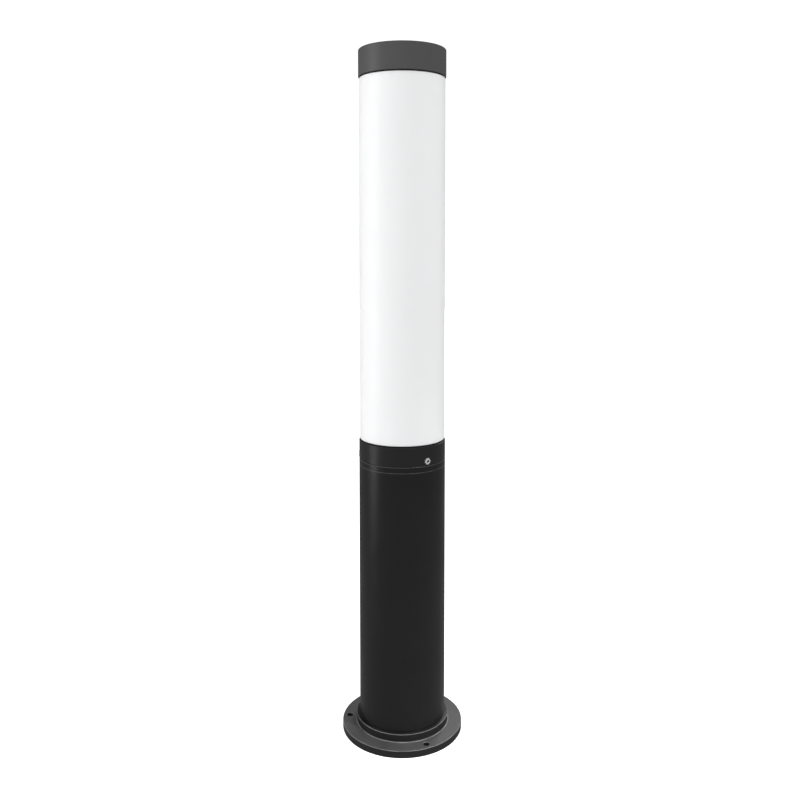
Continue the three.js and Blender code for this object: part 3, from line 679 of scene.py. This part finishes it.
def build_collar():
    corners = [
        (COLLAR_BORE, COLLAR_LOW.z, 0.3 * MM),
        (HEAD_RADIUS, COLLAR_LOW.z, 0.35 * MM),
        (HEAD_RADIUS, COLLAR_TOP, 0.45 * MM),
        (HEAD_SPIGOT, COLLAR_TOP, 0.2 * MM),
        (HEAD_SPIGOT, COLLAR_HIGH.z, 0.5 * MM),
        (COLLAR_BORE, COLLAR_HIGH.z, 0.4 * MM),
    ]
    collar = lathe("collar", rounded(corners, closed=True), ROUND, closed=True)
    cutters = []
    for _, outward, height in retaining_places():
        mouth = outward * HEAD_RADIUS + Vector((0, 0, height))
        well = bore(WELL_RADIUS, WELL_FLOOR - HEAD_RADIUS, 2 * MM, 0.25 * MM)
        cutters.append(placed(well, mouth, outward))
        hole = bore(SCREW_HOLE, -8 * MM, 6 * MM)
        cutters.append(placed(hole, mouth, outward))
    combined(collar, cutters, "DIFFERENCE")
    stands_for(collar, COLLAR_COAT, "collar_ring")


def build_retaining_screws():
    for number, outward, height in retaining_places():
        lift = Vector((0, 0, height))
        washer_corners = [
            (SCREW_HOLE, 0, 0.2 * MM),
            (WASHER_RADIUS, 0, 0.25 * MM),
            (WASHER_RADIUS, WASHER_THICKNESS, 0.25 * MM),
            (SCREW_HOLE, WASHER_THICKNESS, 0.2 * MM),
        ]
        section = rounded(washer_corners, closed=True)
        washer = lathe(f"screw_seal_{number}", section, SMALL_ROUND, closed=True)
        placed(washer, outward * WASHER_SEAT + lift, outward)
        stands_for(washer, RUBBER, f"retaining_washer_{number}")
        screw = socket_screw(f"collar_screw_{number}", M3, 5.4 * MM, button=True)
        placed(screw, outward * SCREW_SEAT + lift, outward)
        stands_for(screw, STAINLESS, f"retaining_screw_{number}", painted_shade=SOCKET_SHADE)


def build_seal(name, node):
    low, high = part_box(node)
    inner = HEAD_SPIGOT + GAP
    corners = [
        (inner, low.z, 0.3 * MM),
        (high.x, low.z, 0.4 * MM),
        (high.x, high.z, 0.4 * MM),
        (inner, high.z, 0.3 * MM),
    ]
    seal = lathe(name, rounded(corners, closed=True), ROUND, closed=True)
    stands_for(seal, RUBBER, node)


def build_diffuser():
    inner = DIFFUSER_RADIUS - 2.5 * MM
    corners = [
        (inner, DIFFUSER_LOW.z, 0.4 * MM),
        (DIFFUSER_RADIUS, DIFFUSER_LOW.z, 0.5 * MM),
        (DIFFUSER_RADIUS, DIFFUSER_HIGH.z, 0.5 * MM),
        (inner, DIFFUSER_HIGH.z, 0.4 * MM),
    ]
    drum = lathe("opal_drum", rounded(corners, closed=True), ROUND, closed=True)
    stands_for(drum, OPAL, "diffuser")


def build_cap():
    top = CAP_HIGH.z
    cavity = HEAD_RADIUS - 4.2 * MM
    spigot_bore = HEAD_SPIGOT - 2.5 * MM
    corners = [
        (0, top - 3.6 * MM, 0),
        (cavity, top - 3.6 * MM, 1.5 * MM),
        (cavity, CAP_BOTTOM + 3 * MM, 0.6 * MM),
        (spigot_bore, CAP_BOTTOM, 0.6 * MM),
        (spigot_bore, CAP_LOW.z, 0.4 * MM),
        (HEAD_SPIGOT, CAP_LOW.z, 0.5 * MM),
        (HEAD_SPIGOT, CAP_BOTTOM, 0.2 * MM),
        (HEAD_RADIUS, CAP_BOTTOM, 0.35 * MM),
        (HEAD_RADIUS, top, 0.9 * MM),
        (0, top, 0),
    ]
    cap = lathe("cap_drum", rounded(corners), ROUND)
    stands_for(cap, CAP_COAT_PAINTED_LIGHTER, "top_cap")


# ---------------------------------------------------------------- adapter and lampholder

E27_PITCH = 3.63 * MM
E27_STEP = 0.45 * MM
O_RING_STEPS = 16
NEUTRAL_TAIL_ANGLE = 45
LEAD_HOLES = [(0, -9 * MM), (9.3 * MM, -9.3 * MM)]


def build_adapter():
    low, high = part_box("post_adapter")
    ring_low, ring_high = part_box("adapter_o_ring")
    floor = low.z + 8 * MM
    shoulder = POST_HIGH.z - GAP
    body = COLLAR_BORE - 0.4 * MM
    groove = body - 1.1 * MM
    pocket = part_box("lampholder_body")[1].x + 0.5 * MM
    pocket_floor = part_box("lampholder_body")[0].z - GAP
    corners = [
        (0, floor, 0),
        (SPIGOT - SPIGOT_WALL, floor, 0.6 * MM),
        (SPIGOT - SPIGOT_WALL, low.z, 0.4 * MM),
        (SPIGOT, low.z, 0.5 * MM),
        (SPIGOT, shoulder, 0.4 * MM),
        (body, shoulder, 0.3 * MM),
        (body, ring_low.z - GAP, 0.2 * MM),
        (groove, ring_low.z - GAP, 0.2 * MM),
        (groove, ring_high.z + GAP, 0.2 * MM),
        (body, ring_high.z + GAP, 0.2 * MM),
        (body, high.z, 0.7 * MM),
        (pocket, high.z, 0.5 * MM),
        (pocket, pocket_floor, 0.8 * MM),
        (0, pocket_floor, 0),
    ]
    adapter = lathe("post_head_casting", rounded(corners), ROUND)
    cutters = []
    for port in PORTS:
        position = (port.x, port.y, 0)
        bottom = low.z - CUT_PAST
        top = POST_HIGH.z + GAP
        cutters.append(placed(bore(PORT_BOSS + 0.4 * MM, bottom, top), position))
        cutters.append(web_block(port, port.xy.length, WEB_SLOT, bottom, top))
        cutters.append(placed(bore(PORT_HOLE, bottom, high.z), position))
        well = bore(SCREW_WELL, -ADAPTER_WELL_DEPTH, CUT_PAST, 0.3 * MM)
        cutters.append(placed(well, (port.x, port.y, high.z)))
    for node in ("lampholder_screw_1", "lampholder_screw_2"):
        hole = bore(PORT_HOLE, floor - CUT_PAST, pocket_floor + CUT_PAST)
        cutters.append(placed(hole, (*middle_of(node).xy, 0)))
    for node in ("bracket_screw_1", "bracket_screw_2"):
        hole = bore(PORT_HOLE, floor - CUT_PAST, pocket_floor - 1.3 * MM)
        cutters.append(placed(hole, (*middle_of(node).xy, 0)))
    for x, y in LEAD_HOLES:
        hole = bore(2.4 * MM, floor - CUT_PAST, pocket_floor + CUT_PAST)
        cutters.append(placed(hole, (x, y, 0)))
    combined(adapter, cutters, "DIFFERENCE")
    stands_for(adapter, CASTING, "post_adapter")


def build_o_ring():
    low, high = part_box("adapter_o_ring")
    half_height = (high.z - low.z) / 2
    half_width = 0.45 * MM
    middle = high.x - half_width
    points = []
    for step in range(O_RING_STEPS):
        angle = 2 * math.pi * step / O_RING_STEPS
        level = low.z + half_height * (1 + math.sin(angle))
        points.append((middle + half_width * math.cos(angle), level))
    o_ring = lathe("o_ring", points, ROUND, closed=True)
    stands_for(o_ring, RUBBER, "adapter_o_ring")


def build_lampholder():
    low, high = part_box("lampholder_body")
    floor = low.z + 11.4 * MM
    radius = high.x
    neck = radius - 1 * MM
    bore_radius = 14.7 * MM
    corners = [
        (0, low.z, 0),
        (radius, low.z, 0.8 * MM),
        (radius, floor, 0.8 * MM),
        (neck, floor + 2 * MM, 0.8 * MM),
        (neck, high.z, 1.3 * MM),
        (bore_radius, high.z, 0.9 * MM),
        (bore_radius, floor, 1.0 * MM),
        (0, floor, 0),
    ]
    holder = lathe("porcelain_holder", rounded(corners), LAMP_ROUND)
    cutters = []
    for node in ("lampholder_screw_1", "lampholder_screw_2"):
        hole = bore(PORT_HOLE, low.z - CUT_PAST, floor + CUT_PAST)
        cutters.append(placed(hole, (*middle_of(node).xy, 0)))
    for x, y in LEAD_HOLES:
        hole = bore(2.0 * MM, low.z - CUT_PAST, floor + CUT_PAST)
        cutters.append(placed(hole, (x, y, 0)))
    combined(holder, cutters, "DIFFERENCE")
    stands_for(holder, PORCELAIN, "lampholder_body")


def build_holder_shell():
    """The holder's brass shell, with a rolled E27 thread and the neutral tail."""
    low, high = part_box("lampholder_shell")
    outer = 14.4 * MM
    inner = 13.9 * MM
    bottom = low.z + 1.7 * MM
    thread = (E27_PITCH, 0.45 * MM, bottom + 1 * MM, high.z - 1 * MM)
    wall_heights = heights(bottom, high.z, E27_STEP)
    outside = [(outer, height) for height in wall_heights]
    inside = [(inner, height) for height in reversed(wall_heights)]
    shell = lathe("brass_shell", outside + inside, RING_ROUND, closed=True, thread=thread)
    side = 2 * MM
    far = -outer + 0.1 * MM
    near = -12.2 * MM
    outline = [(-side, far), (side, far), (side, near), (-side, near)]
    tail = prism("tail", outline, low.z, bottom + 1 * MM)
    tail.data.transform(Matrix.Rotation(math.radians(NEUTRAL_TAIL_ANGLE), 4, "Z"))
    combined(shell, [tail], "UNION")
    stands_for(shell, BRASS, "lampholder_shell")


# ---------------------------------------------------------------- lamp

def build_lamp_cap():
    low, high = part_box("lamp_cap_shell")
    crest = high.x
    wall = 0.6 * MM
    tip = 9.2 * MM
    collar = low.z + 1.2 * MM
    outside = [(tip, low.z), (11.4 * MM, low.z + 0.4 * MM)]
    outside += [(crest, height) for height in heights(collar, high.z, E27_STEP)]
    inner_heights = heights(collar + 0.5 * MM, high.z, E27_STEP)
    inside = [(crest - wall, height) for height in reversed(inner_heights)]
    inside += [(tip, low.z + 0.8 * MM)]
    thread = (E27_PITCH, 0.7 * MM, collar, high.z - 2.5 * MM)
    shell = lathe("nickel_cap", outside + inside, RING_ROUND, closed=True, thread=thread)
    stands_for(shell, NICKEL, "lamp_cap_shell")


def build_lamp_small_parts():
    low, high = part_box("lamp_contact")
    button = [(0, low.z, 0), (3.6 * MM, low.z, 0.8 * MM), (high.x, low.z + 1 * MM, 0.3 * MM),
              (high.x, high.z, 0.2 * MM), (0, high.z, 0)]
    stands_for(lathe("contact_button", rounded(button), SMALL_ROUND), BRASS, "lamp_contact")
    low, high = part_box("lamp_insulator")
    glass = [(0, low.z, 0), (5.2 * MM, low.z, 0.5 * MM), (high.x, high.z - 0.8 * MM, 0.4 * MM),
             (high.x, high.z, 0.2 * MM), (0, high.z, 0)]
    stands_for(lathe("cap_insulator", rounded(glass), 64), BLACK_PLASTIC, "lamp_insulator")
    low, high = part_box("lamp_led_board")
    board = [(0, low.z, 0), (high.x, low.z, 0.2 * MM), (high.x, high.z, 0.2 * MM), (0, high.z, 0)]
    stands_for(lathe("led_board", rounded(board), RING_ROUND), WHITE_PLASTIC, "lamp_led_board")


def build_lamp_housing():
    low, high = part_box("lamp_housing")
    rim = high.x
    wall = 1.4 * MM
    outer = [
        (13.2 * MM, low.z, 0.4 * MM),
        (15 * MM, low.z + 4 * MM, 6 * MM),
        (18.6 * MM, low.z + 18 * MM, 20 * MM),
        (25.5 * MM, low.z + 36 * MM, 20 * MM),
        (28.6 * MM, low.z + 46 * MM, 8 * MM),
        (rim, high.z, 0.4 * MM),
    ]
    inner = [(radius - wall, height, fillet) for radius, height, fillet in reversed(outer)]
    section = rounded(outer + inner, closed=True)
    housing = lathe("lamp_housing_shell", section, LAMP_ROUND, closed=True)
    stands_for(housing, WHITE_PLASTIC, "lamp_housing")


def build_lamp_globe():
    low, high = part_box("lamp_globe")
    radius = high.z - low.z
    wall = 1.3 * MM
    steps = 36
    angles = [math.pi / 2 * step / steps for step in range(steps + 1)]
    outer = [(radius * math.cos(a), low.z + radius * math.sin(a)) for a in angles]
    thin = radius - wall
    inner = [(thin * math.cos(a), low.z + thin * math.sin(a)) for a in angles]
    globe = lathe("lamp_globe_shell", list(reversed(inner)) + outer, LAMP_ROUND)
    stands_for(globe, GLOBE_OPAL, "lamp_globe")


# ---------------------------------------------------------------- hidden CAD pieces

def dress(material, *nodes):
    """A CAD node whose shape is right keeps it, and takes a better material."""
    for node in nodes:
        piece = frame["nodes"][node]
        piece.data.materials.clear()
        piece.data.materials.append(material)


def dress_terminals():
    dress(ZINC, "terminal_bracket", "earth_lug", *[f"clamp_screw_{k}" for k in range(1, 7)])
    dress(WHITE_PLASTIC, "terminal_block")
    dress(BRASS, "lampholder_contact", *[f"terminal_insert_{k}" for k in (1, 2, 3)])
    dress(BROWN_LEAD, "live_lead")
    dress(BLUE_LEAD, "neutral_lead")
    dress(GREEN_LEAD, "earth_lead")


# ---------------------------------------------------------------- studio

def studio_surface(name, strength, paper, low=1.0):
    """Glowing white studio paper. Below the horizon its glow rises or falls to a share, low."""
    surface = Surface(name, Roughness=0.8, Specular_IOR_Level=0.1, Emission_Strength=strength)
    surface.base(surface.colours(surface.noise(0.7, 2), grey(paper - 0.01), grey(paper + 0.01)))
    height = surface.spread(surface.upward("Object"), 0, 1, -2.5, -0.9)
    glow = surface.colours(height, (low, low, low), (1, 1, 1), 0, 1)
    surface.links.new(glow, surface.shader.inputs["Emission Color"])
    return surface.material


def add_floor():
    mesh = bmesh.new()
    bmesh.ops.create_grid(mesh, x_segments=8, y_segments=8, size=6)
    floor = finish_mesh("studio_floor", mesh)
    floor.data.materials.append(studio_surface("studio_paper", 0.8, 0.7))
    floor.visible_diffuse = False
    floor.visible_glossy = False


def add_dome(name, strength, seen_directly, low=1.0):
    """A glowing dome around the studio, seen directly or only in reflections."""
    mesh = bmesh.new()
    bmesh.ops.create_icosphere(mesh, subdivisions=4, radius=5)
    dome = finish_mesh(name, mesh)
    dome.data.materials.append(studio_surface(name + "_glow", strength, 0.02, low))
    dome.visible_camera = seen_directly
    dome.visible_glossy = not seen_directly
    dome.visible_diffuse = False
    dome.visible_transmission = False
    dome.visible_shadow = False


def add_light(name, position, aim, width, height, power, spread=180):
    data = bpy.data.lights.new(name, "AREA")
    data.shape = "RECTANGLE"
    data.size = width
    data.size_y = height
    data.energy = power
    data.spread = math.radians(spread)
    light = bpy.data.objects.new(name, data)
    light.location = position
    light.rotation_euler = (Vector(aim) - Vector(position)).to_track_quat("-Z", "Y").to_euler()
    bpy.context.scene.collection.objects.link(light)


def add_world(strength):
    world = bpy.data.worlds.new("studio_world")
    world.use_nodes = True
    background = world.node_tree.nodes["Background"]
    background.inputs["Color"].default_value = (1, 1, 1, 1)
    background.inputs["Strength"].default_value = strength
    bpy.context.scene.world = world


def add_studio():
    add_floor()
    add_dome("studio_backdrop", 1.05, True)
    add_dome("studio_reflection", 0.16, False, 1.4)
    add_world(1.02)
    add_light("key_left", (-1.26, -0.24, 0.45), (0, 0, 0.3), 0.5, 1.2, 4.6)
    add_light("low_back", (0.5, 1.1, 0.8), (0, 0, 0), 0.5, 0.3, 0.25, 30)
    add_light("base_spot", (0.6, -0.5, 1.3), (0.02, -0.03, 0), 0.15, 0.15, 0.075, 9)
    scene = bpy.context.scene
    scene.view_settings.view_transform = "Standard"
    scene.view_settings.look = "None"


build_flange()
build_post()
build_grommet()
build_screws()
build_collar()
build_retaining_screws()
build_seal("seal_below_drum", "lower_seal")
build_seal("seal_above_drum", "upper_seal")
build_diffuser()
build_cap()
build_adapter()
build_o_ring()
build_lampholder()
build_holder_shell()
build_lamp_cap()
build_lamp_small_parts()
build_lamp_housing()
build_lamp_globe()
dress_terminals()
add_studio()
